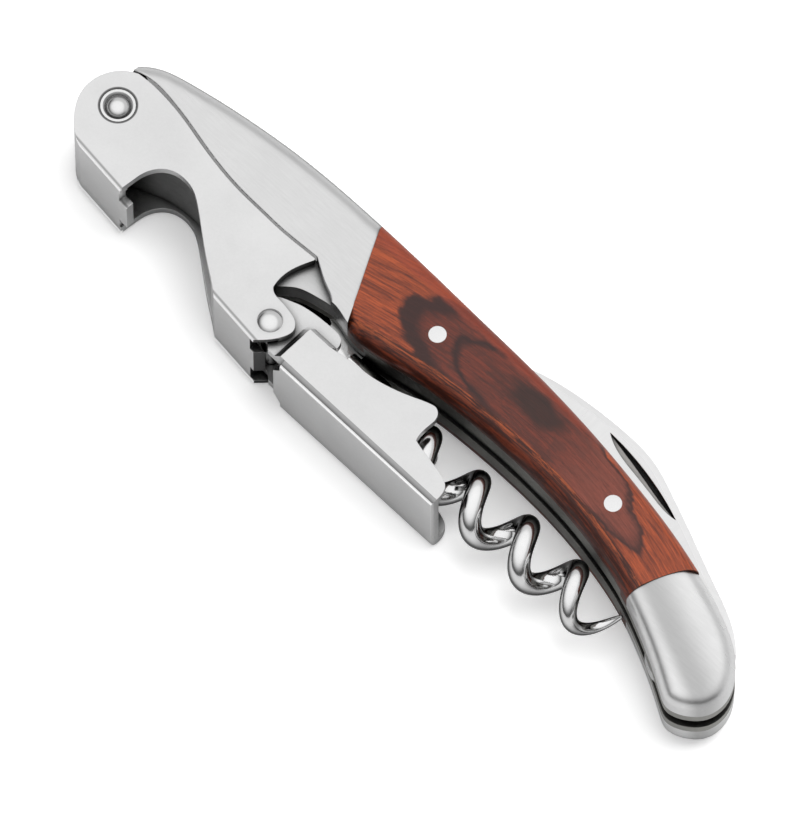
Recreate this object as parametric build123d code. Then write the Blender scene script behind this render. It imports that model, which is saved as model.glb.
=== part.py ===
from build123d import *
import math
import os

os.makedirs("parts", exist_ok=True)

# Waiter's corkscrew with a two-step lever, closed and lying on its side.
# +X runs along the handle from the lever pivot to the butt, +Y points to the
# back edge (foil blade side), the levers and worm hang on the -Y side and +Z is
# the thickness.  Z = 0 is the middle of the handle.  Millimetres throughout.
# "Top" pieces lie on the +Z side; their "bottom" twins are mirrored in Z = 0.

# Centre of the closed tool's bounding box in drawing coordinates: exported as X = Y = 0
ORIGIN = (0.248, 4.58)

# ---------------------------------------------------------------- heights above Z = 0
SLOT_HALF = 1.05          # half gap between the two liners
LEAF_HALF = 1.00          # half thickness of blade and worm eye
LINER_OUT = 2.40          # outer face of a liner
RIM_OUT = 3.80            # top of the liner rim along the belly
TANG_OUT = 5.50           # recessed bolster face that runs inside the lever
BOLSTER_OUT = 6.90        # raised bolster face
SCALE_OUT = 7.00          # outer face of the wood
SHEET = 1.25              # lever sheet thickness
LEVER1_IN = 5.60          # first lever cheek
LEVER1_OUT = LEVER1_IN + SHEET
LEVER2_IN = 5.85          # second lever cheek
LEVER2_OUT = LEVER2_IN + SHEET
TAB_IN = 4.25             # joggled tab of the second lever
TAB_OUT = TAB_IN + SHEET
BOLSTER_PIN_END = 4.60
THROUGH = 9.0             # half height of a cut that passes right through

# ---------------------------------------------------------------- pivots and pins
LEVER_PIVOT = (-54.46, 2.46)    # first lever on the handle
LINK = (-18.60, -5.24)          # second lever on the first
WORM_PIVOT = (-13.50, 5.00)
BLADE_PIVOT = (51.00, 2.00)
SCALE_PINS = [(-1.80, 8.68), (31.14, 7.77)]
BOLSTER_PINS = [(-38.0, 9.6), (-25.0, 9.6)]

CLEARANCE = 0.10          # on the diameter of a turning hole
SLEEVE_D = 4.70
RIVET_D = 2.40
LINK_D = 2.60
EYE_PIN_D = 3.00          # pins of the worm and the blade
EYE_HOLE_D = EYE_PIN_D + CLEARANCE
SCALE_PIN_D = 2.40
BOLSTER_PIN_D = 2.00

EYE_R = 3.20              # worm eye
TANG_R = 5.90             # round tang of the blade


# ---------------------------------------------------------------- helpers
def prism(face, z0, z1):
    """Prism of a flat face between two heights."""
    return extrude(Pos(0, 0, z0) * face, amount=z1 - z0)


def poly(points):
    return make_face(Polyline(*points, close=True))


def loop(*edges):
    return make_face(Curve() + list(edges))


def disc(xy, diameter, z0, z1):
    return Pos(xy[0], xy[1], (z0 + z1) / 2) * Cylinder(diameter / 2, z1 - z0)


def hole(xy, diameter):
    return disc(xy, diameter, -THROUGH, THROUGH)


def side_block(centre, size, side):
    """Box with its centre on the +Z (side 1) or -Z (side -1) half."""
    x, y, z = centre
    return Pos(x, y, side * z) * Box(*size)


def polar(centre, radius, degrees):
    angle = math.radians(degrees)
    return (centre[0] + radius * math.cos(angle), centre[1] + radius * math.sin(angle))


def normal_at(line, u):
    """Unit normal in the XY plane, left of the line's direction."""
    tangent = line % u
    return Vector(-tangent.Y, tangent.X, 0).normalized()


def mirror_z(shape):
    return mirror(shape, about=Plane.XY)


def one(shape):
    """The single largest solid of a result."""
    return max(shape.solids(), key=lambda s: s.volume)


def pierce(solid, holes):
    for xy, diameter in holes:
        solid -= hole(xy, diameter)
    return one(solid)


def round_edges(solid, radii, pick):
    """Fillet the picked edges with the first radius that holds."""
    edges = ShapeList([e for e in solid.edges() if pick(e)])
    for radius in radii:
        # The kernel may refuse a radius; the next smaller one is then used.
        try:
            made = fillet(edges, radius=radius)
            if made.is_valid and made.volume > 0:
                return one(made)
        except Exception:
            continue
    return solid


def edge_points(edge):
    return [edge @ 0, edge @ 0.5, edge @ 1]


def edge_at_height(edge, height):
    return all(abs(p.Z - height) <= 1e-4 for p in edge_points(edge))


def dome(xy, base_d, z, height):
    """Spherical cap whose flat base lies at z."""
    base_r = base_d / 2
    ball_r = (base_r * base_r + height * height) / (2 * height)
    ball = Pos(xy[0], xy[1], z + height - ball_r) * Sphere(ball_r)
    return ball & disc(xy, base_d, z, z + height)


def domed_rivet(xy, shank_d, shank_end, head_d, head_z, head_h):
    """Rivet with a domed head at both ends."""
    half = disc(xy, shank_d, -0.01, shank_end) + dome(xy, head_d, head_z, head_h)
    return one(half + mirror_z(half))


# ---------------------------------------------------------------- handle outline
# (x, y) from the nose along the back, round the butt and back along the belly
HANDLE = [
    (-57.0, 8.6), (-54.6, 10.45), (-50.4, 11.78), (-45.9, 12.72),
    (-39.6, 13.75), (-33.0, 14.5), (-26.0, 14.88), (-18.4, 14.97),
    (-10.0, 14.88), (0.0, 14.6), (9.0, 14.35), (17.3, 13.85),
    (25.0, 13.05), (32.0, 12.02), (39.0, 10.75), (44.9, 9.3),
    (50.4, 7.62), (54.2, 6.0), (57.3, 3.85), (59.25, 1.25), (59.85, -1.3),
    (59.25, -3.6), (57.75, -5.2), (56.1, -6.1), (54.7, -6.3), (53.1, -5.65),
    (49.2, -3.5), (44.8, -1.4), (39.3, 0.8), (33.0, 2.42), (26.0, 3.5),
    (18.4, 3.98), (9.0, 3.85), (3.0, 3.4), (-2.6, 2.45), (-7.0, 1.65),
    (-11.0, 1.6), (-14.2, 2.3), (-17.0, 1.9), (-20.2, 0.75),
    (-22.2, -0.9), (-25.5, -1.35), (-30.0, -0.45), (-35.0, 0.95),
    (-40.0, 1.75), (-45.0, 1.0), (-50.0, -1.1), (-54.0, -1.82),
]
NOSE_R = 4.30
# (x, y) of the joints between wood and bolsters
HEAD_JOINT = [(-18.9, 16.5), (-17.95, 14.5), (-16.0, 10.65), (-13.95, 6.78),
              (-12.0, 3.02), (-10.4, 0.0)]
TAIL_JOINT = [(40.9, -2.0), (41.2, 0.0), (41.65, 1.7), (42.75, 4.7),
              (43.95, 7.1), (45.3, 9.0), (46.6, 10.6)]

nose_top = polar(LEVER_PIVOT, NOSE_R, 118)
nose_mid = polar(LEVER_PIVOT, NOSE_R, 195)
handle_face = loop(
    Spline(*HANDLE),
    ThreePointArc(HANDLE[-1], nose_mid, nose_top),
    Line(nose_top, HANDLE[0]),
)
outline = handle_face.faces()[0].outer_wire()

head_curve = Spline(*HEAD_JOINT)
tail_curve = Spline(*TAIL_JOINT)
front_zone = loop(
    head_curve,
    Polyline(HEAD_JOINT[-1], (-10.4, -12), (-70, -12), (-70, 16.5), HEAD_JOINT[0]),
)
wood_zone = loop(
    head_curve,
    Polyline(HEAD_JOINT[-1], (-10.4, -12), (40.9, -12), TAIL_JOINT[0]),
    tail_curve,
    Polyline(TAIL_JOINT[-1], (46.6, 22), (-18.9, 22), HEAD_JOINT[0]),
)
tail_zone = loop(
    tail_curve,
    Polyline(TAIL_JOINT[-1], (46.6, 22), (75, 22), (75, -14), (40.9, -14), TAIL_JOINT[0]),
)
front_face = (handle_face & front_zone).faces()[0]
wood_face = (handle_face & wood_zone).faces()[0]
tail_face = (handle_face & tail_zone).faces()[0]

# Strip along the belly where the liner stands up below the wood
RIM_W = 1.10
RIM_ZONE = [(-8.2, -5), (39.5, -5), (39.5, 6.5), (-8.2, 6.5)]
rim_face = max((wood_face - Pos(0, RIM_W, 0) * wood_face).faces(), key=lambda f: f.area)
rim_face = (rim_face & poly(RIM_ZONE)).faces()[0]


def over_outline(point):
    return outline.distance_to(Vertex(point.X, point.Y, 0)) < 0.01


def outline_edge(height, keep):
    """Selector for edges at a height that follow the handle outline."""
    def pick(edge):
        middle = edge @ 0.5
        return edge_at_height(edge, height) and over_outline(middle) and keep(middle)
    return pick


# ---------------------------------------------------------------- liners and scales
def make_liner():
    holes = [(LEVER_PIVOT, SLEEVE_D), (WORM_PIVOT, EYE_PIN_D), (BLADE_PIVOT, EYE_PIN_D)]
    holes += [(xy, SCALE_PIN_D) for xy in SCALE_PINS]
    holes += [(xy, BOLSTER_PIN_D) for xy in BOLSTER_PINS]
    plate = pierce(prism(handle_face, SLOT_HALF, LINER_OUT), holes)
    return one(plate + prism(rim_face, LINER_OUT, RIM_OUT))


def make_scale():
    """Wooden scale, rounded more on the belly than on the back."""
    scale = one(prism(wood_face, LINER_OUT, SCALE_OUT))
    scale = round_edges(scale, [2.6, 2.2, 1.6, 1.0],
                        outline_edge(SCALE_OUT, lambda p: p.Y < 6))
    scale = round_edges(scale, [1.8, 1.4, 0.8],
                        outline_edge(SCALE_OUT, lambda p: p.Y > 6))
    scale = pierce(scale, [(xy, SCALE_PIN_D) for xy in SCALE_PINS])
    return one(scale - prism(rim_face, LINER_OUT - 0.5, RIM_OUT))


# ---------------------------------------------------------------- bolsters
# (x, y) lower edge of the raised front bolster, then its step down to the joint
RAISED = [(-57.4, 7.25), (-56.75, 7.45), (-54.6, 8.02), (-52.3, 8.15),
          (-50.0, 7.92), (-45.6, 7.15), (-43.2, 6.62), (-38.6, 5.75),
          (-34.4, 5.3), (-30.6, 5.18), (-26.4, 5.12), (-23.4, 5.28), (-20.75, 5.45)]
STEP = [(-20.75, 5.45), (-19.2, 4.55), (-17.4, 3.6), (-15.4, 2.7), (-14.3, 1.2)]

CROWN_R = 26.0            # rear bolster, curved across the handle
CROWN_XY = (51.0, 1.4)
CROWN_TURN = -23          # degrees, direction of the crown's axis in XY


def make_front_bolster():
    """Recessed plate under the lever with a raised part along the back."""
    raised_zone = loop(
        Spline(*RAISED), Spline(*STEP),
        Polyline(STEP[-1], (-5.0, 1.2), (-5.0, 20), (-60, 20), (-60, 7.25), RAISED[0]),
    )
    block = one(prism(front_face, LINER_OUT, BOLSTER_OUT))
    block = round_edges(block, [2.2, 2.0, 1.6, 1.0],
                        outline_edge(BOLSTER_OUT, lambda p: p.Y > 9 and p.X > -56))
    raised = one(block & prism(raised_zone, LINER_OUT, BOLSTER_OUT + 1))

    def seam_edge(edge):
        middle = edge @ 0.5
        return (abs(middle.Z - BOLSTER_OUT) < 1e-4 and middle.Y < 8.3
                and middle.X < -14.6 and edge.length > 3)

    raised = round_edges(raised, [0.25, 0.15], seam_edge)
    bolster = one(prism(front_face, LINER_OUT, TANG_OUT) + raised)
    bolster -= hole(LEVER_PIVOT, SLEEVE_D)
    for xy in BOLSTER_PINS:
        bolster -= disc(xy, BOLSTER_PIN_D, 1, BOLSTER_PIN_END)
    return one(bolster)


def make_rear_bolster():
    """Crowned bolster, rolled over at the outline."""
    crown = (Pos(*CROWN_XY, BOLSTER_OUT - CROWN_R) * Rot(0, 0, CROWN_TURN)
             * Rot(0, 90, 0) * Cylinder(CROWN_R, 60))
    block = one(prism(tail_face, LINER_OUT, BOLSTER_OUT + 1) & crown)

    def crown_edge(edge):
        points = edge_points(edge)
        return min(p.Z for p in points) >= 5.0 and all(over_outline(p) for p in points)

    return round_edges(block, [2.8, 2.4, 2.0, 1.6], crown_edge)


# ---------------------------------------------------------------- centre layer
SPACER_ZONE = [(-70, -12), (-23.0, -12), (-21.5, 0.5), (-20.4, 5.0), (-20.0, 20), (-70, 20)]

# (x, y) of the spring: back edge to +X, belly edge to -X, then the front arm
SPRING_BACK = [(-19.2, 14.6), (-10.0, 14.55), (-1.0, 14.2), (1.5, 12.4), (6.0, 11.0),
               (14.0, 9.75), (22.0, 9.35), (30.0, 9.2), (36.0, 8.35), (41.0, 6.6),
               (43.9, 5.2)]
SPRING_BELLY = [(45.0, 1.0), (42.0, 1.4), (36.0, 2.3), (30.0, 3.4), (24.0, 4.05),
                (16.0, 4.4), (9.0, 4.25), (2.0, 3.7), (-3.0, 2.85), (-7.0, 2.05)]
SPRING_ARM = [(-7.0, 2.05), (-7.6, 4.6), (-8.6, 8.4), (-13.4, 9.3), (-19.2, 9.6)]
SPRING_GAP = 0.12         # radial gap round the worm eye and the blade tang
FRONT_SLIT = [(-20.0, 12.1), (-6.5, 11.6), (-5.9, 12.0), (-6.5, 12.5), (-20.0, 13.0)]
REAR_SLIT = [(50.0, 3.3), (36.0, 5.0), (35.4, 5.4), (36.0, 5.75), (50.0, 4.1)]


def make_front_spacer():
    """Nose spacer between the liners, ending short of the worm eye."""
    face = (handle_face & poly(SPACER_ZONE)).faces()[0]
    spacer = one(prism(face, -SLOT_HALF, SLOT_HALF))
    return pierce(spacer, [(LEVER_PIVOT, SLEEVE_D)]
                  + [(xy, BOLSTER_PIN_D) for xy in BOLSTER_PINS])


def make_back_spring():
    """One leaf for both ends: the front arm meets the worm eye, the rear arm the tang."""
    face = loop(
        Line(SPRING_ARM[-1], SPRING_BACK[0]), Spline(*SPRING_BACK),
        Line(SPRING_BACK[-1], SPRING_BELLY[0]), Spline(*SPRING_BELLY),
        Polyline(*SPRING_ARM),
    )
    spring = prism(face, -SLOT_HALF, SLOT_HALF)
    spring -= hole(WORM_PIVOT, 2 * (EYE_R + SPRING_GAP))
    spring -= hole(BLADE_PIVOT, 2 * (TANG_R + SPRING_GAP))
    for slit in (FRONT_SLIT, REAR_SLIT):
        spring -= prism(poly(slit), -3, 3)
    return pierce(spring, [(xy, SCALE_PIN_D) for xy in SCALE_PINS])


# ---------------------------------------------------------------- pins and rivets
SLEEVE_END = 6.80
SINK_FLOOR = 6.42         # countersink in each end of the sleeve
SINK_DEPTH = 0.40
SINK_R_IN, SINK_R_OUT = 1.62, 2.02


def make_lever_sleeve():
    sleeve = Cylinder(SLEEVE_D / 2, 2 * SLEEVE_END) - Cylinder(RIVET_D / 2, 20)
    for side, flip in ((1, 0), (-1, 180)):
        sink = Rot(flip, 0, 0) * Cone(SINK_R_IN, SINK_R_OUT, SINK_DEPTH)
        sleeve -= Pos(0, 0, side * (SINK_FLOOR + SINK_DEPTH / 2)) * sink
    return one(Pos(*LEVER_PIVOT, 0) * sleeve)


def make_lever_rivet():
    """Heads sit in the sleeve's countersinks."""
    return domed_rivet(LEVER_PIVOT, RIVET_D, shank_end=SINK_FLOOR + 0.03,
                       head_d=3.2, head_z=SINK_FLOOR, head_h=0.95)


def make_link_rivet():
    return domed_rivet(LINK, LINK_D, shank_end=LEVER1_OUT + 0.01,
                       head_d=3.4, head_z=LEVER1_OUT, head_h=0.80)


def plain_pin(xy, diameter, end):
    return one(disc(xy, diameter, -end, end))


def make_scale_pin(xy):
    """Pin through both scales with slightly domed ends."""
    cap = dome(xy, SCALE_PIN_D, SCALE_OUT - 0.001, 0.08)
    pin = disc(xy, SCALE_PIN_D, -SCALE_OUT, SCALE_OUT) + cap
    return one(pin + mirror_z(cap))


# ---------------------------------------------------------------- first lever
# (x, y) of the cheek: seam against the raised bolster, mouth and round at the link.
# The first seam point and the last end point are computed.
SEAM = [(-53.4, 7.72), (-50.2, 7.55), (-45.7, 6.82), (-43.3, 6.28),
        (-38.7, 5.42), (-34.5, 4.97), (-30.6, 4.86), (-26.4, 4.80), (-23.4, 4.95),
        (-21.0, 5.12)]
MOUTH = [(-20.65, 4.85), (-21.35, 3.2), (-21.85, 1.5), (-21.95, -0.2), (-21.7, -1.55)]
LINK_END = [(-21.7, -1.55), (-20.9, -2.12), (-19.4, -2.3), (-17.8, -2.52), (-16.3, -3.0),
            (-15.45, -4.1), (-15.75, -5.6), (-16.75, -7.2)]
LEVER_NOSE_R = 5.25
LEVER_NOSE_MID_R = 4.90
# (x, y) of the crown cap opening
ARCH = [(-45.9, -7.2), (-45.62, -5.2), (-45.45, -3.6), (-45.25, -2.3), (-44.75, -1.0),
        (-43.8, 0.2), (-42.4, 0.98), (-40.7, 1.18), (-39.1, 0.9), (-37.6, 0.15),
        (-35.4, -1.4), (-32.6, -3.5), (-29.6, -5.6), (-26.9, -7.45), (-25.6, -8.6)]
# Centre on the +Z side, and size
HINGE_RELIEF = ((-15.9, -7.9, 4.50), (6.0, 3.4, 3.2))
WEB_TAIL_CUT = ((-15.4, -8.6, 0), (3.2, 2.4, 9.0))
CLAW_HALF = 2.90          # half width of the web tongue in the opening
CLAW_START, CLAW_TIP = -47.4, -44.40
CLAW_RELIEF_W = 2.3
CLAW_RELIEF = ((-45.0, -5.6, CLAW_HALF + CLAW_RELIEF_W / 2), (1.9, 3.0, CLAW_RELIEF_W))
FOLD_RADII = [1.15, 0.9, 0.6]


def web1_y(x):
    """Y of the outer face of the first lever's sloping web."""
    return -5.88 - 0.104 * (x + 45.9)


def fold_edge(out, keep):
    """Selector for edges on either outer cheek face whose middle is kept."""
    def pick(edge):
        flat = all(abs(abs(p.Z) - out) < 1e-4 for p in edge_points(edge))
        return flat and keep(edge @ 0.5)
    return pick


def first_lever_face():
    top = polar(LEVER_PIVOT, LEVER_NOSE_R, 104)
    low = polar(LEVER_PIVOT, LEVER_NOSE_R, 208)
    web_start = (-54.0, web1_y(-54.0))
    seam = [top] + SEAM
    link_end = LINK_END + [(-18.2, web1_y(-18.2))]
    return loop(
        ThreePointArc(top, polar(LEVER_PIVOT, LEVER_NOSE_MID_R, 168), low),
        Spline(low, (-58.45, -1.33), (-57.05, -3.05), (-55.5, -4.35), web_start),
        Line(web_start, link_end[-1]),
        Spline(*link_end[::-1]),
        Spline(*MOUTH[::-1]),
        ThreePointArc(MOUTH[0], (-20.72, 5.08), seam[-1]),
        Spline(*seam[::-1]),
    )


def make_first_lever():
    """Folded channel: two cheeks joined by a web on the -Y side."""
    lever = one(prism(first_lever_face(), -LEVER1_OUT, LEVER1_OUT))
    lever = round_edges(lever, FOLD_RADII, fold_edge(
        LEVER1_OUT,
        lambda p: abs(p.Y - web1_y(p.X)) < 0.02 or (p.X < -55 and -5 < p.Y < -1)))
    # hollow between the cheeks, leaving the web one sheet thick
    hollow = poly([
        (-10, web1_y(-10) + SHEET), (-53.9, web1_y(-53.9) + SHEET), (-55.0, -3.30),
        (-56.2, -2.35), (-57.5, -0.95), (-64, -7.0), (-70, 20), (-10, 20)])
    lever -= prism(hollow, -LEVER1_IN, LEVER1_IN)
    # crown cap opening through both cheeks and the web
    arch = loop(Spline(*ARCH), Polyline(ARCH[-1], (-25.6, -12), (-45.9, -12), ARCH[0]))
    lever -= prism(arch, -THROUGH, THROUGH)
    # corner reliefs at the hinge end, and the web between them cut square
    for side in (1, -1):
        lever -= side_block(*HINGE_RELIEF, side)
    lever -= side_block(*WEB_TAIL_CUT, 1)
    lever = pierce(lever, [(LEVER_PIVOT, SLEEVE_D + CLEARANCE), (LINK, LINK_D)])
    # tongue of the web that reaches into the opening, between two reliefs
    for side in (1, -1):
        lever -= side_block(*CLAW_RELIEF, side)
    claw = prism(poly([
        (CLAW_START, web1_y(CLAW_START)), (CLAW_TIP, web1_y(CLAW_TIP)),
        (CLAW_TIP, web1_y(CLAW_TIP) + SHEET), (CLAW_START, web1_y(CLAW_START) + SHEET),
    ]), -CLAW_HALF, CLAW_HALF)
    return one(lever + one(claw))


# ---------------------------------------------------------------- second lever
WEB2_Y = -8.90            # outer face of the web
# (x, y) of the cheek: top edge, foot and prong
TOP = [(-13.9, -2.62), (-9.9, -2.42), (-6.3, -1.92), (-3.7, -1.68), (-0.8, -1.02),
       (2.0, -0.02), (4.2, 0.9), (5.1, 1.17)]
FOOT = [(5.1, 1.17), (5.95, 0.95), (6.5, 0.25), (6.6, -1.2), (6.62, -2.9), (6.9, -3.95)]
PRONG = [(6.9, -3.95), (8.3, -4.28), (10.9, -4.75), (12.9, -5.2), (14.1, -5.85),
         (14.6, -6.9), (14.65, WEB2_Y + 0.4)]
# (x, y) of the tab: top edge, straight sides and round end at the link
TAB_TOP = [(-21.3, -2.35), (-20.4, -1.5), (-19.2, -1.0), (-17.9, -0.5), (-16.4, -0.17),
           (-14.7, 0.04), (-13.0, 0.14), (-11.3, 0.08), (-10.5, -0.3), (-10.15, -0.95),
           (-10.1, -2.2)]
TAB_SIDES = [(-10.1, -2.2), (-10.1, -3.1), (-13.2, -4.4), (-13.2, -7.95),
             (-16.3, -7.95), (-17.2, -7.15)]
TAB_END = [(-17.2, -7.15), (-18.9, -7.08), (-20.6, -6.85), (-22.0, -5.6),
           (-22.15, -4.0), (-21.3, -2.35)]
# Joggle from the tab plane out to the cheek plane: (x, z) and (y, z) sections
JOG_XZ = [(-15.05, TAB_IN), (-15.05, TAB_OUT), (-13.95, LEVER2_OUT), (-11.6, LEVER2_OUT),
          (-11.6, LEVER2_IN), (-12.5, LEVER2_IN), (-13.6, TAB_IN)]
JOG_YZ = [(-1.55, TAB_IN), (-1.55, TAB_OUT), (-2.50, LEVER2_OUT), (-3.6, LEVER2_OUT),
          (-3.6, LEVER2_IN), (-2.95, LEVER2_IN), (-2.25, TAB_IN)]


def make_tab_arm():
    """Link tab and joggle of the +Z cheek."""
    tab = prism(loop(Spline(*TAB_TOP), Polyline(*TAB_SIDES), Spline(*TAB_END)),
                TAB_IN, TAB_OUT)
    # Plane.XZ faces -Y, so this runs from Y = -2.64 towards -Y
    hinge_jog = Pos(0, -2.64, 0) * extrude(Plane.XZ * poly(JOG_XZ), amount=5.32)
    top_jog = Pos(-14.0, 0, 0) * extrude(Plane.YZ * poly(JOG_YZ), amount=3.9)
    return tab + hinge_jog + top_jog - hole(LINK, LINK_D + CLEARANCE)


def make_second_lever():
    """Folded channel with a joggled tab on each cheek at the link."""
    face = loop(
        Spline(*TOP), Spline(*FOOT), Spline(*PRONG),
        Polyline(PRONG[-1], (14.5, WEB2_Y), (-14.4, WEB2_Y), (-14.4, -8.2),
                 (-13.9, -7.9), TOP[0]),
    )
    lever = one(prism(face, -LEVER2_OUT, LEVER2_OUT))
    lever = round_edges(lever, FOLD_RADII,
                        fold_edge(LEVER2_OUT, lambda p: abs(p.Y - WEB2_Y) < 0.01))
    web_in = WEB2_Y + SHEET
    lever -= prism(poly([(-20, web_in), (20, web_in), (20, 10), (-20, 10)]),
                   -LEVER2_IN, LEVER2_IN)
    # slanted corners at the hinge end of the web, drawn as (x, z)
    for side in (1, -1):
        corner = poly([(-14.6, side * 3.2), (-13.2, side * 5.2), (-13.2, side * 9),
                       (-16, side * 9), (-16, side * 3.2)])
        lever -= Pos(0, WEB2_Y + 0.93, 0) * extrude(Plane.XZ * corner, amount=2.2)
    arm = make_tab_arm()
    return one(lever + arm + mirror_z(arm))


# ---------------------------------------------------------------- worm
WIRE_R = 1.50
TIP_R = 0.16
HELIX_R = 2.80            # wire centre radius
HELIX_PITCH = 8.95
AXIS_Y = -2.94
PHASE_X = 14.42           # wire is on the +Y side of the axis here
TIP_X = 40.85
TAPER = HELIX_PITCH * 0.85      # length along the axis of the point
TAPER_POWER = 0.62
# (x, y, z) of the wire from the neck into the first turn
LEAD = [(-9.35, -0.05, 0.0), (-8.2, -0.05, 0.0), (-7.0, -0.05, 0.0), (-5.6, -0.08, 0.03),
        (-4.4, -0.12, 0.30), (-3.35, -0.32, 0.98)]
# (x, y) centre line of the flat neck, from the eye to the wire
NECK = [(-13.30, 4.6), (-13.05, 2.9), (-12.55, 1.35), (-11.6, 0.45), (-10.3, 0.05),
        (-8.2, -0.05)]
NECK_W = 3.40             # width at the eye
NECK_NARROWING = 0.25     # loss of half width at the wire
NECK_STEPS = 12


def helix_point(x):
    angle = 2 * math.pi * (x - PHASE_X) / HELIX_PITCH
    return (x, AXIS_Y + HELIX_R * math.cos(angle), HELIX_R * math.sin(angle))


def make_wire():
    """Round wire lofted along the lead and helix, tapering to the point."""
    samples = list(LEAD)
    x = PHASE_X - 2 * HELIX_PITCH + HELIX_PITCH * 0.11
    while x < TIP_X - 0.25:
        samples.append(helix_point(x))
        x += HELIX_PITCH / 12
    samples.append(helix_point(TIP_X))
    path = Spline(*samples)

    sections = []
    up = Vector(0, 0, 1)
    count = len(samples) * 2
    for i in range(count + 1):
        point = path @ (i / count)
        tangent = (path % (i / count)).normalized()
        # carry the section's X direction along so that the loft does not twist
        up = (up - tangent * up.dot(tangent)).normalized()
        fullness = min(max((TIP_X - point.X) / TAPER, 0), 1) ** TAPER_POWER
        circle = Circle(TIP_R + (WIRE_R - TIP_R) * fullness)
        sections.append((Plane(origin=point, x_dir=up, z_dir=tangent) * circle).faces()[0])
    return loft(sections)


def make_neck():
    """Flat neck that narrows from the eye to the wire."""
    centre_line = Spline(*NECK)
    left, right = [], []
    for i in range(NECK_STEPS + 1):
        u = i / NECK_STEPS
        centre = centre_line @ u
        offset = normal_at(centre_line, u) * (NECK_W / 2 - NECK_NARROWING * u)
        left.append((centre.X + offset.X, centre.Y + offset.Y))
        right.append((centre.X - offset.X, centre.Y - offset.Y))
    face = loop(Spline(*left), Line(left[-1], right[-1]),
                Spline(*right[::-1]), Line(right[0], left[0]))
    return prism(face, -LEAF_HALF, LEAF_HALF)


def make_worm():
    eye = disc(WORM_PIVOT, 2 * EYE_R, -LEAF_HALF, LEAF_HALF)
    return one(make_wire() + make_neck() + eye - hole(WORM_PIVOT, EYE_HOLE_D))


# ---------------------------------------------------------------- foil blade
# (x, y) of the spine to +X and the cutting edge to -X
SPINE = [(3.6, 13.35), (6.0, 14.85), (9.1, 16.05), (12.6, 16.95), (17.2, 17.65),
         (22.3, 18.02), (26.0, 18.02), (29.6, 17.5), (33.2, 16.28), (39.1, 13.98),
         (45.9, 11.15), (50.0, 9.5), (53.0, 7.9)]
EDGE = [(44.6, 6.35), (41.6, 7.6), (38.0, 8.95), (32.0, 9.95), (24.0, 10.05),
        (16.0, 10.45), (9.0, 11.5), (3.6, 13.35)]
BEVEL_STEPS = 14
NOTCHES = 17
NOTCH_D = 2.0
NOTCH_OFFSET = 0.62       # notch centre outside the cutting edge
# (x, y) of the nail nick: wall on the spine side, far edges of recess and groove
NICK_WALL = [(22.0, 16.55), (26.0, 16.32), (30.2, 15.66), (33.6, 14.82), (36.75, 13.75)]
NICK_RECESS = [(36.75, 13.75), (35.0, 13.62), (31.9, 14.05), (28.1, 14.65), (24.4, 15.4),
               (22.0, 16.55)]
NICK_GROOVE = [(36.75, 13.75), (33.2, 14.25), (29.8, 15.0), (25.6, 15.85), (22.0, 16.55)]
RECESS_DEPTH, GROOVE_DEPTH = 0.34, 0.80


def bevel_tool(points, inward_y, width, depth, side):
    """Wedge lofted along an edge of the blade, to be cut away.

    inward_y is the sign of Y towards the blade, side the sign of Z.
    """
    line = Spline(*points)
    corners = [(width, LEAF_HALF), (-0.5, LEAF_HALF - depth - 0.5 * depth / width),
               (-0.5, LEAF_HALF + 0.6), (width, LEAF_HALF + 0.6)]
    rings = []
    for i in range(BEVEL_STEPS + 1):
        start, inward = line @ (i / BEVEL_STEPS), normal_at(line, i / BEVEL_STEPS)
        if inward.Y * inward_y < 0:
            inward = inward * -1
        ring = [start + inward * across + Vector(0, 0, side * z) for across, z in corners]
        rings.append(poly(ring).faces()[0])
    return loft(rings)


def make_foil_blade():
    """Serrated blade, bevelled on both faces, with a nail nick on the +Z face."""
    tang_top = polar(BLADE_PIVOT, TANG_R, 44)
    tang_low = polar(BLADE_PIVOT, TANG_R, -60)
    tang_front = polar(BLADE_PIVOT, TANG_R, 158)
    edge_line = Spline(*EDGE)
    face = loop(
        Spline(*SPINE, tang_top),
        ThreePointArc(tang_top, tang_low, tang_front),
        Line(tang_front, EDGE[0]),
        edge_line,
    )
    blade = one(prism(face, -LEAF_HALF, LEAF_HALF))
    # the bevel lines run past the ends of the outline
    spine_run = [(2.6, 12.35)] + SPINE + [(55.6, 5.7)]
    edge_run = EDGE[1:-1] + [(3.0, 13.75)]
    for side in (1, -1):
        blade -= bevel_tool(spine_run, -1, width=0.90, depth=0.34, side=side)
        blade -= bevel_tool(edge_run, 1, width=2.40, depth=0.82, side=side)
    blade = one(blade)
    for i in range(NOTCHES):
        u = 0.16 + 0.74 * i / (NOTCHES - 1)
        normal = normal_at(edge_line, u)
        outward = normal * -1 if normal.Y > 0 else normal
        centre = edge_line @ u + outward * NOTCH_OFFSET
        blade -= disc((centre.X, centre.Y), NOTCH_D, -2, 2)
    blade = one(blade)
    blade -= hole(BLADE_PIVOT, EYE_HOLE_D)
    # shallow recess with a deeper groove along the wall on the spine side
    for far_edge, depth in ((NICK_RECESS, RECESS_DEPTH), (NICK_GROOVE, GROOVE_DEPTH)):
        nick = loop(Spline(*NICK_WALL), Spline(*far_edge))
        blade -= prism(nick, LEAF_HALF - depth, LEAF_HALF + 1)
    return one(blade)


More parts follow.
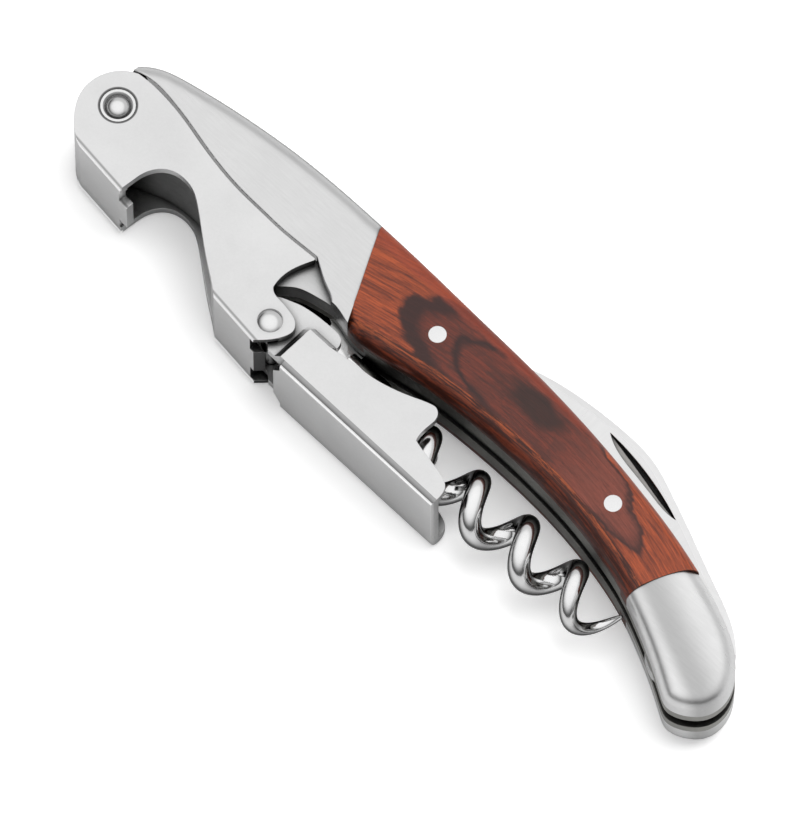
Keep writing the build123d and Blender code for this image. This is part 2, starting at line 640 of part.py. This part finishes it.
# ---------------------------------------------------------------- output
pieces = {
    "front_spacer": make_front_spacer(),
    "back_spring": make_back_spring(),
    "lever_sleeve": make_lever_sleeve(),
    "lever_rivet": make_lever_rivet(),
    "scale_pins": [make_scale_pin(xy) for xy in SCALE_PINS],
    "bolster_pins": [plain_pin(xy, BOLSTER_PIN_D, BOLSTER_PIN_END) for xy in BOLSTER_PINS],
    "worm_pin": plain_pin(WORM_PIVOT, EYE_PIN_D, LINER_OUT),
    "blade_pin": plain_pin(BLADE_PIVOT, EYE_PIN_D, LINER_OUT),
    "first_lever": make_first_lever(),
    "link_rivet": make_link_rivet(),
    "second_lever": make_second_lever(),
    "worm": make_worm(),
    "foil_blade": make_foil_blade(),
}
for name, make_top in (("liner", make_liner), ("scale", make_scale),
                       ("front_bolster", make_front_bolster),
                       ("rear_bolster", make_rear_bolster)):
    top_piece = make_top()
    pieces[f"{name}_top"] = top_piece
    pieces[f"{name}_bottom"] = mirror_z(top_piece)

move = Pos(-ORIGIN[0], -ORIGIN[1], 0)
for name, shape in pieces.items():
    if isinstance(shape, list):
        shape = Compound(children=[move * solid for solid in shape])
    else:
        shape = move * shape
    shape.label = name
    export_step(shape, f"parts/{name}.step")
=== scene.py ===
# A folding knife with two levers, a worm and red laminated wood scales, seen from above.
# It lies flat with its length along X and its top face towards +Z. The front bolster and
# the levers are at the -X end, the wood in the middle and the rear bolster at the +X end.
import math
from functools import cached_property

import bmesh
import bpy
from mathutils import Matrix, Vector


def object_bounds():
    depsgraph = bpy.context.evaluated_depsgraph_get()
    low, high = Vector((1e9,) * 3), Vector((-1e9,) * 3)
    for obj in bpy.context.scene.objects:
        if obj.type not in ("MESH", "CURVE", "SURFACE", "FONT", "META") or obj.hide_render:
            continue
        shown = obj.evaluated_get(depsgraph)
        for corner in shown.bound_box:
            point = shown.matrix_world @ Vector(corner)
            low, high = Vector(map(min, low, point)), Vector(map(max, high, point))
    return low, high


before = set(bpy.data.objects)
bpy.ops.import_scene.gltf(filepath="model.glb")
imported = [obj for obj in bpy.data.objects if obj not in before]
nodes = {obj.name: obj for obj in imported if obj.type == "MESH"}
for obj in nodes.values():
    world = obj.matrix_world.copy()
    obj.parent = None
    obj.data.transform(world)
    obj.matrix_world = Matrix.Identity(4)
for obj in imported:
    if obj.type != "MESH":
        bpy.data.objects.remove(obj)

cad_box = [list(v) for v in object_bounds()]

# The scene is in metres. Places on the knife are in drawing millimetres, in which the
# scene's origin is at (ORIGIN_X, ORIGIN_Y).
ORIGIN_X, ORIGIN_Y = 0.248, 4.58


def from_drawing(x, y):
    """Scene place of a drawing point at height zero."""
    return Vector(((x - ORIGIN_X) / 1000, (y - ORIGIN_Y) / 1000, 0))


def grey(value):
    return (value, value, value)


# ------------------------------------------------------------------ shader building
class ShaderTree:
    """Short calls that add nodes and return their output sockets."""

    def __init__(self, tree, coordinates="Object"):
        self.tree = tree
        self.coordinates = coordinates
        tree.nodes.clear()

    @cached_property
    def position(self):
        return self.node("ShaderNodeTexCoord").outputs[self.coordinates]

    def feed(self, socket, value):
        """Link a socket or store a constant."""
        if isinstance(value, bpy.types.NodeSocket):
            self.tree.links.new(value, socket)
        else:
            socket.default_value = value

    def node(self, kind, inputs=None, **properties):
        node = self.tree.nodes.new(kind)
        for key, value in properties.items():
            setattr(node, key, value)
        for key, value in (inputs or {}).items():
            self.feed(node.inputs[key], value)
        return node

    def math(self, operation, *values):
        inputs = dict(enumerate(values))
        return self.node("ShaderNodeMath", inputs, operation=operation).outputs[0]

    def add(self, a, b):
        return self.math("ADD", a, b)

    def subtract(self, a, b):
        return self.math("SUBTRACT", a, b)

    def multiply(self, a, b):
        return self.math("MULTIPLY", a, b)

    def square(self, value):
        return self.math("POWER", value, 2.0)

    def root_of_squares(self, a, b):
        return self.math("SQRT", self.add(self.square(a), self.square(b)))

    def mapping(self, scale, rotation=(0, 0, 0)):
        inputs = {0: self.position, "Scale": scale, "Rotation": rotation}
        return self.node("ShaderNodeMapping", inputs).outputs[0]

    def noise(self, vector=None, scale=100.0, detail=4.0, rough=0.55, distortion=0.0, output=0):
        inputs = {
            "Vector": vector or self.position, "Scale": scale, "Detail": detail,
            "Roughness": rough, "Distortion": distortion,
        }
        return self.node("ShaderNodeTexNoise", inputs).outputs[output]

    def mix(self, factor, a, b, mode="MIX"):
        """Blend two colours, each a socket or an RGB triple."""
        a, b = ((*c, 1) if isinstance(c, tuple) else c for c in (a, b))
        inputs = {0: factor, 6: a, 7: b}
        node = self.node("ShaderNodeMix", inputs, data_type="RGBA", blend_type=mode)
        return node.outputs[2]

    def shade(self, tone, value):
        """Multiply a colour by a single value."""
        return self.mix(1.0, tone, self.combine(value, value, value), "MULTIPLY")

    def remap(self, value, span, to=(0.0, 1.0), smooth=False):
        """Carry the span's two ends to the two values of `to`."""
        node = self.node("ShaderNodeMapRange", dict(enumerate((value, *span, *to))))
        if smooth:
            node.interpolation_type = "SMOOTHSTEP"
        return node.outputs[0]

    def band(self, value, rise, fall, smooth=True):
        """Mask that climbs over the span `rise` and drops over the span `fall`."""
        return self.multiply(self.remap(value, rise, smooth=smooth),
                             self.remap(value, fall, (1.0, 0.0), smooth))

    def xyz(self, vector=None):
        return self.node("ShaderNodeSeparateXYZ", {0: vector or self.position}).outputs[:3]

    def combine(self, x, y, z):
        return self.node("ShaderNodeCombineXYZ", {0: x, 1: y, 2: z}).outputs[0]

    def drawing_xyz(self):
        """X and Y in drawing millimetres, z in metres."""
        x, y, z = self.xyz()
        drawing_x = self.add(self.multiply(x, 1000.0), ORIGIN_X)
        drawing_y = self.add(self.multiply(y, 1000.0), ORIGIN_Y)
        return drawing_x, drawing_y, z


class Material(ShaderTree):
    """A material with one principled surface."""

    def __init__(self, name):
        self.material = bpy.data.materials.new(name)
        self.material.use_nodes = True
        super().__init__(self.material.node_tree)
        self.surface = self.node("ShaderNodeBsdfPrincipled")
        self.node("ShaderNodeOutputMaterial", {0: self.surface.outputs[0]})

    def set(self, inputs):
        for name, value in inputs.items():
            self.feed(self.surface.inputs[name], value)

    def bump(self, height, strength, distance, normal=None):
        inputs = {"Height": height, "Strength": strength, "Distance": distance}
        if normal is not None:
            inputs["Normal"] = normal
        return self.node("ShaderNodeBump", inputs).outputs[0]

    def bevel(self, radius, samples):
        return self.node("ShaderNodeBevel", {"Radius": radius}, samples=samples).outputs[0]

    def rounded_edge_mask(self, radius):
        """Mask that is bright where the rounded normal leaves the real one."""
        normal = self.node("ShaderNodeNewGeometry").outputs["Normal"]
        inputs = {0: self.bevel(radius, samples=4), 1: normal}
        dot = self.node("ShaderNodeVectorMath", inputs, operation="DOT_PRODUCT")
        return self.remap(dot.outputs["Value"], (0.995, 0.90))

    def occlusion_shade(self, distance, span=(0.42, 0.93), darkest=0.10):
        """Multiplier that falls to `darkest` where surfaces meet: painted shade from occlusion.
        """
        inputs = {"Distance": distance}
        occlusion = self.node("ShaderNodeAmbientOcclusion", inputs, samples=6)
        return self.remap(occlusion.outputs["AO"], span, (darkest, 1.0))


# ------------------------------------------------------------------ steel
# centre and radii of a painted shade ring round the first lever's pivot
RING_CENTRE = from_drawing(-54.46, 2.46)
RING_INNER, RING_OUTER = 0.00230, 0.00262


def hair_scratches(m):
    """Sparse hairlines: thin cell borders shown in patches."""
    inputs = {"Vector": m.mapping(scale=(0.25, 1.0, 1.0), rotation=(0, 0, 0.7)), "Scale": 420}
    cells = m.node("ShaderNodeTexVoronoi", inputs, feature="DISTANCE_TO_EDGE")
    lines = m.remap(cells.outputs["Distance"], (0.0, 0.012), (1.0, 0.0))
    patches = m.remap(m.noise(scale=210, detail=2), (0.55, 0.66))
    return m.multiply(lines, patches)


def pivot_ring_shade(m, tone):
    """A ring of painted shade around RING_CENTRE, the first lever's pivot."""
    x, y, _ = m.xyz()
    distance = m.root_of_squares(m.subtract(x, RING_CENTRE.x), m.subtract(y, RING_CENTRE.y))
    mask = m.band(distance, rise=(RING_INNER - 0.00008, RING_INNER + 0.00002),
                  fall=(RING_OUTER - 0.00004, RING_OUTER + 0.00008), smooth=False)
    return m.mix(m.multiply(mask, 0.86), tone, grey(0.05))


def fold_lines(m, tone):
    """Painted shade as a dark line beside the fold on flat faces, and a painted highlight as a
    bright line on upright faces.
    """
    x, y, z = m.drawing_xyz()
    true_normal = m.node("ShaderNodeNewGeometry").outputs["True Normal"]
    facing_z = m.math("ABSOLUTE", m.xyz(true_normal)[2])
    # millimetres towards +Y from the sloping fold
    offset = m.add(m.add(y, 5.88), m.multiply(m.add(x, 45.9), 0.104))
    line = m.band(offset, rise=(0.10, 0.24), fall=(0.34, 0.62))
    line = m.multiply(line, m.math("GREATER_THAN", facing_z, 0.9))
    tone = m.mix(m.multiply(line, 0.62), tone, grey(0.16))
    height = m.math("ABSOLUTE", m.multiply(z, 1000.0))
    shine = m.multiply(m.remap(height, (6.10, 6.32), smooth=True),
                       m.math("LESS_THAN", facing_z, 0.4))
    shine = m.multiply(shine, m.math("LESS_THAN", offset, 0.3))
    return m.mix(shine, tone, grey(0.95)), shine


def crown_shading(m, tone):
    """Painted shade: a greyer band on the -Y side of the rear bolster, on an axis turned off Y,
    with the rest a little lighter.
    """
    x, y, _ = m.drawing_xyz()
    across = m.add(m.multiply(m.subtract(x, 50.0), 0.391), m.multiply(m.subtract(y, 1.6), 0.921))
    dip = m.band(across, rise=(-3.9, -1.9), fall=(-1.4, 3.2))
    return m.shade(tone, m.subtract(1.12, m.multiply(dip, 0.42)))


def steel(name, base, rough, grain=(1, 1, 1), grain_scale=3000, grain_amount=0.05, cloud=0.03,
          bump=0.10, anisotropy=0.0, scratch=0.3, tint=(1, 1, 1), corner_shade=True, corner_shade_floor=0.10,
          hollow=None, hollow_span=(0.40, 0.88), rim=None, glow=None,
          ring=False, fold=False, crown=False):
    """Steel with directional grain, cloudy variation, fine scratches, painted highlights along
    edges and painted shade in corners.

    grain         noise stretch along x, y and z
    grain_amount, cloud   swing in brightness from each
    corner_shade_floor  darkest value of the painted shade in tight corners
    hollow        darkest value of the painted shade in wide hollows, over occlusion `hollow_span`
    rim           painted dark reflection: facing span and the brightness at grazing angles
    """
    m = Material(name)
    fine_grain = m.noise(m.mapping(scale=grain), scale=grain_scale, detail=3, rough=0.7)
    broad_grain = m.noise(m.mapping(scale=tuple(axis * 2.3 for axis in grain)),
                          scale=grain_scale * 0.41, detail=2, rough=0.6)
    grains = m.add(m.multiply(fine_grain, 0.6), m.multiply(broad_grain, 0.4))
    clouds = m.noise(scale=95, detail=4, rough=0.6)
    smudge = m.noise(scale=320, detail=5, rough=0.65, distortion=0.6)
    variation = m.add(m.remap(grains, (0.3, 0.7), (-grain_amount, grain_amount)),
                      m.remap(clouds, (0.3, 0.7), (-cloud, cloud)))
    tone = m.shade(tuple(base * t for t in tint), m.add(variation, 1.0))
    hair = hair_scratches(m)
    # painted highlight: the colour is lighter along rounded edges
    edge_highlight = m.rounded_edge_mask(radius=0.00018)
    tone = m.mix(m.multiply(edge_highlight, 0.35), tone, grey(min(1, base * 1.18)))

    # painted shade from occlusion: darker in tight corners and, where hollow is given, in wide
    # hollows
    if corner_shade:
        dark = m.occlusion_shade(distance=0.0011, darkest=corner_shade_floor)
        if hollow is not None:
            dark = m.multiply(dark, m.occlusion_shade(distance=0.0055, span=hollow_span, darkest=hollow))
        tone = m.shade(tone, dark)
    if ring:
        tone = pivot_ring_shade(m, tone)
    if fold:
        # painted highlight along the fold, also given off as a glow
        tone, shine = fold_lines(m, tone)
        glow = m.multiply(shine, 0.42)
    if crown:
        tone = crown_shading(m, tone)
    # painted dark reflection: the colour darkens towards grazing angles
    if rim:
        facing = m.node("ShaderNodeLayerWeight", {"Blend": 0.5}).outputs["Facing"]
        tone = m.shade(tone, m.remap(facing, rim[:2], (1.0, rim[2]), smooth=True))
    # painted glow: the surface gives off its own colour as light
    if glow is not None:
        m.set({"Emission Color": tone, "Emission Strength": glow})

    gloss = m.add(m.remap(smudge, (0.3, 0.7), (rough * 0.88, rough * 1.14)),
                  m.multiply(hair, -scratch * rough))
    relief = m.subtract(grains, m.multiply(hair, scratch * 0.3))
    rounded = m.bevel(radius=0.00012, samples=6)
    m.set({
        "Base Color": tone,
        "Metallic": 1.0,
        "Roughness": m.add(gloss, m.remap(grains, (0.3, 0.7), (-0.03, 0.03))),
        "Anisotropic": anisotropy,
        "Normal": m.bump(relief, strength=bump, distance=0.000012, normal=rounded),
    })
    return m.material


# Values that several steels share
LEVER = dict(grain_scale=2600, scratch=0.0)
LEVER_FACE = dict(LEVER, grain_amount=0.025, corner_shade_floor=0.40, hollow=0.08,
                  hollow_span=(0.30, 0.78), ring=True)
LEVER_BEND = dict(LEVER, cloud=0.06, corner_shade=False)
BOLSTER = dict(grain=(0.10, 1.0, 1.0), grain_scale=3200)
BOLSTER_FACE = dict(BOLSTER, anisotropy=0.2, corner_shade_floor=0.45, hollow=0.08)
STACK = dict(grain=(0.05, 1.0, 1.0), grain_scale=2600, grain_amount=0.12, bump=0.3)
POLISHED = dict(bump=0.03, scratch=0.1)
BLADE_EDGE = dict(grain=(0.2, 1.0, 1.0))

lever_mat = steel("lever_satin", base=0.80, rough=0.33, **LEVER_FACE)
first_lever_mat = steel("first_lever_satin", base=0.80, rough=0.33, cloud=0.035, fold=True,
                        **LEVER_FACE)
# shaded and lit copies of the lever steel for the folded edges: painted shade on the flatter
# part, painted highlight with a glow on the steeper part
bend_shade = steel("lever_bend_painted_shade", base=0.42, rough=0.36, **LEVER_BEND)
bend_highlight = steel("lever_bend_painted_highlight", base=0.92, rough=0.34, glow=0.38, **LEVER_BEND)
# near-black steel as painted shade on the walls at the levers' facing ends and in the notch
wall_mat = steel("lever_wall_painted_shade", base=0.10, rough=0.45, grain_scale=2600,
                 grain_amount=0.10, cloud=0.10, bump=0.30, corner_shade_floor=0.30, hollow=0.4,
                 hollow_span=(0.30, 0.78))
bolster_mat = steel("bolster_satin", base=0.76, rough=0.34, bump=0.22, **BOLSTER_FACE)
rear_mat = steel("rear_bolster_satin", base=0.78, rough=0.32, bump=0.20, crown=True,
                 **BOLSTER_FACE)
# dark steel as painted shade on the stacked edges inside the front end
inner_mat = steel("stack_edge_painted_shade", base=0.20, rough=0.42, cloud=0.12, hollow=0.25,
                  hollow_span=(0.30, 0.88), **STACK)
# lighter steel with a painted glow for the bolster's wall at the seam
seam_mat = steel("bolster_seam_painted_glow", base=0.60, rough=0.50, grain_amount=0.10, cloud=0.10,
                 bump=0.22, corner_shade=False, glow=0.42, **BOLSTER)
# liners and spring: darker steel, partly their own tone and partly painted shade for the
# handle's inside
liner_mat = steel("liner_dull_painted_shade", base=0.33, rough=0.38, cloud=0.10, tint=(1.0, 0.99, 0.93),
                  hollow=0.07, **STACK)
spring_mat = steel("spring_ground_painted_shade", base=0.26, rough=0.36, cloud=0.08, tint=(1.0, 1.0, 0.97),
                   hollow=0.07, **STACK)
blade_mat = steel("blade_fine", base=0.85, rough=0.32, grain=(0.9, 0.06, 1.0),
                  grain_scale=3600, grain_amount=0.030, cloud=0.02, scratch=0.1,
                  corner_shade_floor=0.35)
# pins and worm: polished steel whose colour darkens at grazing angles as a painted dark
# reflection
polish_mat = steel("pin_polished", base=0.88, rough=0.13, grain_scale=1800,
                   grain_amount=0.015, cloud=0.02, rim=(0.30, 0.75, 0.25), **POLISHED)
worm_mat = steel("worm_polished", base=0.90, rough=0.10, grain_scale=1500, grain_amount=0.02,
                 corner_shade_floor=0.3, rim=(0.24, 0.64, 0.04), **POLISHED)
# bright spine steel with a faint painted glow
spine_mat = steel("blade_spine", base=0.95, rough=0.40, grain_amount=0.04, scratch=0.1,
                  corner_shade=False, glow=0.12, **BLADE_EDGE)
nick_mat = steel("blade_nick", base=0.52, rough=0.50, grain_scale=2600, grain_amount=0.22,
                 cloud=0.12, bump=0.4, tint=(1.0, 0.98, 0.95), **BLADE_EDGE)
# near-black steel in the nick's groove as painted shade
groove_mat = steel("blade_nick_groove_painted_shade", base=0.09, rough=0.60, grain_scale=2600,
                   grain_amount=0.15, cloud=0.10, bump=0.4, **BLADE_EDGE)


# ------------------------------------------------------------------ wood
WOOD_OUTSIDE = (0.360, 0.068, 0.020)
WOOD_INSIDE = (0.150, 0.028, 0.015)
WOOD_RING = (0.026, 0.010, 0.009)
BELLY_X, BELLY_Y = 17.0, 5.95  # top of the curved shoulder line


def wood():
    """Red wood with a growth figure above a shoulder line and a dark flank below it."""
    m = Material("red_laminated_wood")
    x, y, z = m.drawing_xyz()
    warp = m.noise(m.mapping(scale=(0.55, 1, 1)), scale=260, output="Color")
    warp_x, warp_y, warp_z = m.xyz(warp)
    warped_x = m.add(x, m.remap(warp_x, (0.25, 0.75), (-1.7, 1.7)))
    warped_y = m.add(y, m.remap(warp_y, (0.25, 0.75), (-0.65, 0.65)))

    def ellipse(centre_x, centre_y, radius_x, radius_y):
        """Distance from the centre, 1 on the ellipse."""
        return m.root_of_squares(
            m.math("DIVIDE", m.subtract(warped_x, centre_x), radius_x),
            m.math("DIVIDE", m.subtract(warped_y, centre_y), radius_y))

    # growth figure, its axis falling towards -Y at the +X end
    sweep = m.math("POWER", m.remap(warped_x, (20.0, 39.5)), 1.5)
    axis = m.subtract(9.3, m.multiply(sweep, 4.0))
    half_width = m.remap(warped_x, (10.0, 34.0), (6.6, 3.5), smooth=True)
    outer = ellipse(15.25, axis, 24.3, half_width)
    inner = ellipse(10.0, 9.6, 10.0, 3.9)
    blob = ellipse(13.8, 10.5, 6.0, 2.1)

    # distance towards +Y from the shoulder line, which curves more on its +X half
    curve = m.remap(m.math("GREATER_THAN", x, BELLY_X), (0.0, 1.0), (0.004, 0.006))
    belly = m.subtract(BELLY_Y, m.multiply(curve, m.square(m.subtract(x, BELLY_X))))
    above = m.subtract(y, belly)

    def strands(along, length, across, depth, **noise):
        """Noise drawn out along X that follows the shoulder line."""
        vector = m.combine(m.math("DIVIDE", along, length), m.multiply(above, across),
                           m.multiply(z, depth))
        return m.noise(vector, **noise)

    fibres = strands(warped_x, length=9.0, across=2.0, depth=900.0,
                     scale=1.5, detail=7, rough=0.74)
    fine = strands(x, length=5.0, across=6.0, depth=2500.0, scale=1.8, detail=4, rough=0.7)
    pores = strands(x, length=1.6, across=9.0, depth=3000.0, scale=2.4, detail=2, rough=0.5)

    # ground tones outside and inside the figure
    outside = m.mix(m.remap(fibres, (0.36, 0.62)), (0.085, 0.017, 0.009), WOOD_OUTSIDE)
    inside = m.mix(m.remap(fibres, (0.34, 0.64)), (0.052, 0.015, 0.011), WOOD_INSIDE)
    patches = m.combine(m.math("DIVIDE", warped_x, 3.2), m.math("DIVIDE", warped_y, 1.1), 0.0)
    mottle = m.noise(patches, scale=0.9, detail=5, rough=0.65)
    inside = m.mix(m.remap(mottle, (0.47, 0.60), (0.0, 0.65), smooth=True), inside,
                   (0.060, 0.018, 0.013))
    lighter = m.multiply(m.remap(warped_x, (17.0, 30.0), (0.0, 0.75), smooth=True),
                         m.remap(fibres, (0.34, 0.60), (0.35, 1.0)))
    inside = m.mix(lighter, inside, (0.200, 0.052, 0.034))
    tone = m.mix(m.remap(outer, (0.93, 1.02), smooth=True), inside, outside)

    # dark outer ring, thinner towards +X, then the inner ring and the dark heart
    thinned = m.subtract(outer, m.remap(warped_x, (4.0, 26.0), (0.0, 0.10)))
    outer_ring = m.multiply(m.remap(thinned, (0.74, 0.88), smooth=True),
                            m.remap(outer, (0.955, 1.01), (1.0, 0.0), smooth=True))
    tone = m.mix(m.multiply(outer_ring, 0.92), tone, WOOD_RING)
    inner_ring = m.band(inner, rise=(0.76, 0.90), fall=(0.92, 1.04))
    inner_ring = m.multiply(inner_ring, m.remap(x, (7.0, 14.0), (1.0, 0.0), smooth=True))
    tone = m.mix(m.multiply(inner_ring, 0.95), tone, WOOD_RING)
    heart = m.remap(blob, (0.5, 1.15), (1.0, 0.0), smooth=True)
    tone = m.mix(m.multiply(heart, 0.88), tone, (0.024, 0.012, 0.010))

    # strip along the +Y edge
    wavy_y = m.add(y, m.remap(warp_z, (0.3, 0.7), (-0.5, 0.5)))
    tone = m.mix(m.remap(wavy_y, (12.2, 13.0), (0.0, 0.6), smooth=True), tone,
                 (0.230, 0.036, 0.016))

    # darker red flank below the shoulder, partly painted shade, with lighter streaks just under
    # it
    flank = m.mix(m.remap(fibres, (0.46, 0.60), smooth=True),
                  (0.044, 0.010, 0.006), (0.165, 0.030, 0.011))
    streak = m.multiply(m.remap(above, (-1.1, -0.15), smooth=True),
                        m.remap(fibres, (0.47, 0.56)))
    flank = m.mix(m.multiply(streak, 0.85), flank, (0.360, 0.078, 0.022))
    ragged = m.add(above, m.remap(fine, (0.3, 0.7), (-0.12, 0.12)))
    tone = m.mix(m.remap(ragged, (-0.10, 0.10), (1.0, 0.0)), tone, flank)

    # fine fibres, pores, painted shade in corners and lighter edges
    tone = m.shade(tone, m.remap(fine, (0.30, 0.72), (0.72, 1.22)))
    pore = m.remap(pores, (0.30, 0.38), (1.0, 0.0))
    tone = m.mix(m.multiply(pore, 0.55), tone, (0.022, 0.009, 0.007))
    tone = m.shade(tone, m.occlusion_shade(distance=0.0008, darkest=0.25))
    lighter_edge = m.multiply(m.rounded_edge_mask(radius=0.00015), 0.25)
    tone = m.mix(lighter_edge, tone, (0.30, 0.085, 0.035))
    relief = m.add(m.multiply(fine, 0.5), m.multiply(pore, -0.9))
    m.set({
        "Base Color": tone,
        "Roughness": m.remap(fibres, (0.3, 0.7), (0.34, 0.48)),
        "Coat Weight": 0.18,
        "Coat Roughness": 0.26,
        "Specular IOR Level": 0.35,
        "Normal": m.bump(relief, strength=0.25, distance=0.00003),
    })
    return m.material


wood_mat = wood()


# ------------------------------------------------------------------ materials on the parts
PART_MATERIALS = {
    "liner_top": liner_mat, "liner_bottom": liner_mat,
    "scale_top": wood_mat, "scale_bottom": wood_mat,
    "front_bolster_top": bolster_mat, "front_bolster_bottom": bolster_mat,
    "rear_bolster_top": rear_mat, "rear_bolster_bottom": rear_mat,
    "front_spacer": spring_mat, "back_spring": spring_mat,
    "lever_sleeve": polish_mat, "lever_rivet": polish_mat, "scale_pins": polish_mat,
    "bolster_pins": polish_mat, "worm_pin": polish_mat, "blade_pin": polish_mat,
    "first_lever": first_lever_mat, "link_rivet": polish_mat, "second_lever": lever_mat,
    "worm": worm_mat, "foil_blade": blade_mat,
}
for name, part in nodes.items():
    part.data.materials.clear()
    part.data.materials.append(PART_MATERIALS[name])


def paint(name, material, chosen):
    """Add a slot and give it the faces where chosen(face, normal, x, y, z) is true.

    x and y are the face centre in drawing millimetres, z its height in millimetres.
    """
    part = nodes[name]
    part.data.materials.append(material)
    slot = len(part.data.materials) - 1
    for face in part.data.polygons:
        centre = part.matrix_world @ face.center
        scaled = centre * 1000
        x, y = scaled.x + ORIGIN_X, scaled.y + ORIGIN_Y
        if chosen(face, face.normal, x, y, centre.z * 1000):
            face.material_index = slot


def curved_seam(face, normal, x, y, z):
    return abs(normal.z) < 0.5 and normal.y < 0.1 and -54.8 < x < -20.8 and y > 4.2


def stack_edge(face, normal, x, y, z):
    return abs(normal.z) < 0.5 and normal.y < -0.1 and -52.0 < x < -30.0 and y < 4.2


def first_lever_wall(face, normal, x, y, z):
    notch = (abs(normal.z) < 0.5 and normal.x > 0.1
             and -22.3 < x < -20.4 and -1.7 < y < 5.0)
    end = normal.x > 0.45 and abs(normal.z) < 0.7 and x > -19.2 and y < -6.2
    return notch or end


def second_lever_wall(face, normal, x, y, z):
    return normal.x < -0.45 and abs(normal.z) < 0.7 and x < -10.5 and y < -6.0


def on_bend(normal):
    return normal.y < -0.25 and abs(normal.x) < 0.5


def flatter_bend(face, normal, x, y, z):
    return on_bend(normal) and 0.60 < abs(normal.z) < 0.97


def steeper_bend(face, normal, x, y, z):
    return on_bend(normal) and 0.22 < abs(normal.z) <= 0.60


def nick_floor(face, normal, x, y, z):
    return 0.45 < z < 0.95 and abs(normal.z) > 0.9


def nick_groove(face, normal, x, y, z):
    # faces without area have no true normal
    return abs(z - 0.20) < 0.03 and normal.z > 0.9 and face.area > 0


def blade_spine(face, normal, x, y, z):
    return 0.12 < normal.z < 0.97 and normal.y > 0.1 and z > 0.0


# the bolster's wall along the lever's curved edge gets a faint painted glow
paint("front_bolster_top", seam_mat, curved_seam)

# the stacked edges facing -Y get a dark, dull steel as painted shade
for name in ("liner_top", "liner_bottom", "front_spacer",
             "front_bolster_top", "front_bolster_bottom"):
    paint(name, inner_mat, stack_edge)

# dark walls of painted shade at the facing ends of the levers, and painted shade and painted
# highlight on their folded edges
for name, wall in (("first_lever", first_lever_wall), ("second_lever", second_lever_wall)):
    paint(name, wall_mat, wall)
    paint(name, bend_shade, flatter_bend)
    paint(name, bend_highlight, steeper_bend)

# rough nail nick, its groove painted black as shade, and the bright spine with its painted glow,
# which wins where they overlap
paint("foil_blade", nick_mat, nick_floor)
paint("foil_blade", groove_mat, nick_groove)
paint("foil_blade", spine_mat, blade_spine)


# ------------------------------------------------------------------ floor, light, sky
scene = bpy.context.scene


def add_floor():
    """A pale floor under the knife, brighter to the camera than to other rays."""
    grid = bmesh.new()
    bmesh.ops.create_grid(grid, x_segments=2, y_segments=2, size=0.55)
    mesh = bpy.data.meshes.new("floor")
    grid.to_mesh(mesh)
    grid.free()
    floor = bpy.data.objects.new("floor", mesh)
    floor.location.z = cad_box[0][2]
    scene.collection.objects.link(floor)

    m = Material("floor_pale")
    seen = m.node("ShaderNodeLightPath").outputs["Is Camera Ray"]
    m.set({
        "Base Color": m.mix(seen, grey(0.54), grey(0.90)),
        "Roughness": 0.45,
        "Specular IOR Level": 0.1,
        "Emission Color": (1, 1, 1, 1),
        "Emission Strength": m.multiply(seen, 0.30),
    })
    floor.data.materials.append(m.material)


def add_key_light():
    """A square lamp on the +Y side, aimed at the origin and left out of reflections."""
    light = bpy.data.lights.new("key", "AREA")
    light.energy = 2.6
    light.size = 0.50
    key = bpy.data.objects.new("key", light)
    key.location = (0.10, 0.22, 0.52)
    key.rotation_euler = (-key.location).to_track_quat("-Z", "Y").to_euler()
    scene.collection.objects.link(key)
    key.visible_glossy = False


# ramp place (0 straight down, 1 straight up), brightness
SKY_STOPS = [(0.0, 0.6), (0.47, 0.30), (0.52, 0.06), (0.60, 0.10), (0.70, 0.55),
             (0.82, 0.92), (1.0, 1.0)]


def add_world():
    """A grey sky, dark at the horizon, with a paler stretch towards +Y."""
    world = bpy.data.worlds.new("studio")
    scene.world = world
    world.use_nodes = True
    sky = ShaderTree(world.node_tree, coordinates="Generated")
    _, y, z = sky.xyz()
    ramp = sky.node("ShaderNodeValToRGB", {0: sky.remap(z, (-1, 1))})
    ramp.color_ramp.interpolation = "B_SPLINE"
    stops = ramp.color_ramp.elements
    while len(stops) < len(SKY_STOPS):
        stops.new(0.5)
    for stop, (place, brightness) in zip(stops, SKY_STOPS):
        stop.position = place
        stop.color = (*grey(brightness), 1)
    far = sky.multiply(sky.remap(y, (0.05, 0.6), smooth=True),
                       sky.remap(z, (0.45, 0.75), (1.0, 0.0), smooth=True))
    far = sky.multiply(far, sky.remap(z, (-0.30, -0.02)))
    colour = sky.mix(far, ramp.outputs[0], grey(0.62))
    background = sky.node("ShaderNodeBackground", {0: colour, 1: 1.0})
    sky.node("ShaderNodeOutputWorld", {0: background.outputs[0]})


# ------------------------------------------------------------------ camera
AZIMUTH, ELEVATION = math.radians(45), math.radians(66)
DISTANCE = 2.5
SENSOR_WIDTH, LENS = 36, 866.25  # millimetres; frames 103.9 mm across at DISTANCE


def add_camera():
    """A long lens looking at the drawing's origin from +X, -Y and above."""
    back = Vector((math.sin(AZIMUTH) * math.cos(ELEVATION),
                   -math.cos(AZIMUTH) * math.cos(ELEVATION), math.sin(ELEVATION)))
    right = Vector((math.cos(AZIMUTH), math.sin(AZIMUTH), 0))
    rotation = Matrix((right, back.cross(right), back)).transposed()
    data = bpy.data.cameras.new("camera")
    data.sensor_fit = "HORIZONTAL"
    data.sensor_width = SENSOR_WIDTH
    data.lens = LENS
    data.clip_start = 0.1
    data.clip_end = 20
    camera = bpy.data.objects.new("camera", data)
    place = from_drawing(0, 0) + back * DISTANCE
    camera.matrix_world = Matrix.Translation(place) @ rotation.to_4x4()
    scene.collection.objects.link(camera)
    scene.camera = camera


add_floor()
add_key_light()
add_world()
add_camera()
scene.view_settings.view_transform = "Standard"
